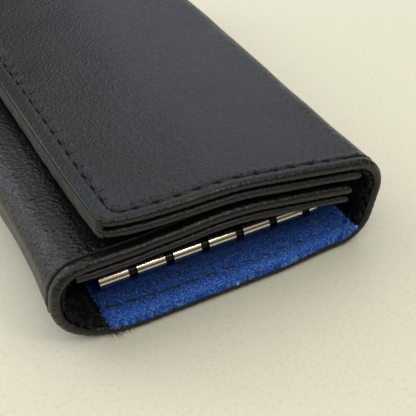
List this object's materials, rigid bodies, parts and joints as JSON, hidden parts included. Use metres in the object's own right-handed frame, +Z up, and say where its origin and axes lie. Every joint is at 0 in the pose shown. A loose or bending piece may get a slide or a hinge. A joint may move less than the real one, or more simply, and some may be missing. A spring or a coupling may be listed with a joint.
{
  "type": "key case",
  "caption": "Closed folding leather key case, open at both ends, with a blue suede floor and a metal rail of swinging key hooks under two overlapping flaps.",
  "frame": {"origin": "on the table under the middle of the closed case", "axes": "+X across the folds, from the inner flap's fold to the outer flap's fold; +Y along the case, away from the key rail's end; +Z up"},
  "size_m": [0.0712, 0.115, 0.0262],
  "materials": {
    "shell_leather": "smooth, fine grain",
    "lining_leather": "matt",
    "fold_textile": "rough",
    "blue_suede": "napped",
    "stiff_board": "matt board",
    "black_thread": "twisted",
    "nickel_plate": "bright nickel plate",
    "steel": "bright",
    "snap_metal": "satin"
  },
  "bodies": {
    "centre": {"floor_panel": "shell_leather", "left_lower_fold": "shell_leather", "right_lower_fold": "shell_leather", "stiffener_board": "stiff_board", "suede_lining": "blue_suede", "suede_stitches": "black_thread", "key_rail": "nickel_plate", "hinge_pin": "steel", "rail_rivets": "nickel_plate", "rivet_washers": "steel"},
    "left_wall": {"left_wall": "shell_leather", "left_upper_fold": "shell_leather", "left_fold_lining": "fold_textile"},
    "inner_flap": {"inner_flap": "shell_leather", "inner_pocket": "lining_leather", "snap_stud": "snap_metal", "snap_stud_back": "snap_metal"},
    "right_wall": {"right_wall": "shell_leather", "right_upper_fold": "shell_leather", "right_fold_lining": "fold_textile"},
    "outer_flap": {"outer_flap": "shell_leather", "outer_lining": "lining_leather", "snap_socket": "snap_metal", "snap_socket_cap": "snap_metal", "flap_edge_stitches": "black_thread"},
    "hook_1": {"key_hook_1": "nickel_plate"},
    "gate_1": {"spring_gate_1": "steel"},
    "hook_2": {"key_hook_2": "nickel_plate"},
    "gate_2": {"spring_gate_2": "steel"},
    "hook_3": {"key_hook_3": "nickel_plate"},
    "gate_3": {"spring_gate_3": "steel"},
    "hook_4": {"key_hook_4": "nickel_plate"},
    "gate_4": {"spring_gate_4": "steel"},
    "hook_5": {"key_hook_5": "nickel_plate"},
    "gate_5": {"spring_gate_5": "steel"},
    "hook_6": {"key_hook_6": "nickel_plate"},
    "gate_6": {"spring_gate_6": "steel"}
  },
  "joints": [
    {"name": "outer_flap_fold", "type": "hinge", "parent": "right_wall", "child": "outer_flap", "pos_m": [0.03442, 0, 0.01786], "axis": [0, 1, 0], "range_deg": [0, 91.5], "deforming": ["right_upper_fold", "outer_flap", "outer_lining", "flap_edge_stitches"]},
    {"name": "right_wall_fold", "type": "hinge", "parent": "centre", "child": "right_wall", "pos_m": [0.03148, 0, 0.00178], "axis": [0, 1, 0], "range_deg": [0, 78], "deforming": ["right_lower_fold", "right_fold_lining"]},
    {"name": "inner_flap_fold", "type": "hinge", "parent": "left_wall", "child": "inner_flap", "pos_m": [-0.03385, 0, 0.01776], "axis": [0, -1, 0], "range_deg": [0, 90], "deforming": ["left_upper_fold", "inner_flap", "inner_pocket"]},
    {"name": "left_wall_fold", "type": "hinge", "parent": "centre", "child": "left_wall", "pos_m": [-0.03252, 0, 0.00305], "axis": [0, -1, 0], "range_deg": [0, 90], "deforming": ["left_lower_fold", "left_fold_lining"]},
    {"name": "hook_1_swing", "type": "hinge", "parent": "centre", "child": "hook_1", "pos_m": [-0.01614, -0.0481, 0.00526], "axis": [1, 0, 0], "range_deg": [0, 170]},
    {"name": "hook_2_swing", "type": "hinge", "parent": "centre", "child": "hook_2", "pos_m": [-0.00816, -0.0481, 0.00526], "axis": [1, 0, 0], "range_deg": [0, 170]},
    {"name": "hook_3_swing", "type": "hinge", "parent": "centre", "child": "hook_3", "pos_m": [-0.00019, -0.0481, 0.00526], "axis": [1, 0, 0], "range_deg": [0, 170]},
    {"name": "hook_4_swing", "type": "hinge", "parent": "centre", "child": "hook_4", "pos_m": [0.00779, -0.0481, 0.00526], "axis": [1, 0, 0], "range_deg": [0, 170]},
    {"name": "hook_5_swing", "type": "hinge", "parent": "centre", "child": "hook_5", "pos_m": [0.01576, -0.0481, 0.00526], "axis": [1, 0, 0], "range_deg": [0, 170]},
    {"name": "hook_6_swing", "type": "hinge", "parent": "centre", "child": "hook_6", "pos_m": [0.02374, -0.0481, 0.00526], "axis": [1, 0, 0], "range_deg": [0, 170]},
    {"name": "gate_1_spring", "type": "hinge", "parent": "hook_1", "child": "gate_1", "pos_m": [-0.01614, -0.0421, 0.00631], "axis": [-1, 0, 0], "range_deg": [0, 18], "stiffness_Nm_per_rad": 0.004, "springref_deg": -5.73},
    {"name": "gate_2_spring", "type": "hinge", "parent": "hook_2", "child": "gate_2", "pos_m": [-0.00816, -0.0421, 0.00631], "axis": [-1, 0, 0], "range_deg": [0, 18], "stiffness_Nm_per_rad": 0.004, "springref_deg": -5.73},
    {"name": "gate_3_spring", "type": "hinge", "parent": "hook_3", "child": "gate_3", "pos_m": [-0.00019, -0.0421, 0.00631], "axis": [-1, 0, 0], "range_deg": [0, 18], "stiffness_Nm_per_rad": 0.004, "springref_deg": -5.73},
    {"name": "gate_4_spring", "type": "hinge", "parent": "hook_4", "child": "gate_4", "pos_m": [0.00779, -0.0421, 0.00631], "axis": [-1, 0, 0], "range_deg": [0, 18], "stiffness_Nm_per_rad": 0.004, "springref_deg": -5.73},
    {"name": "gate_5_spring", "type": "hinge", "parent": "hook_5", "child": "gate_5", "pos_m": [0.01576, -0.0421, 0.00631], "axis": [-1, 0, 0], "range_deg": [0, 18], "stiffness_Nm_per_rad": 0.004, "springref_deg": -5.73},
    {"name": "gate_6_spring", "type": "hinge", "parent": "hook_6", "child": "gate_6", "pos_m": [0.02374, -0.0421, 0.00631], "axis": [-1, 0, 0], "range_deg": [0, 18], "stiffness_Nm_per_rad": 0.004, "springref_deg": -5.73}
  ],
  "couplings": [
    {"joint": "right_wall_fold", "follows": "outer_flap_fold", "ratio": 0.85246},
    {"joint": "left_wall_fold", "follows": "inner_flap_fold", "ratio": 1}
  ]
}
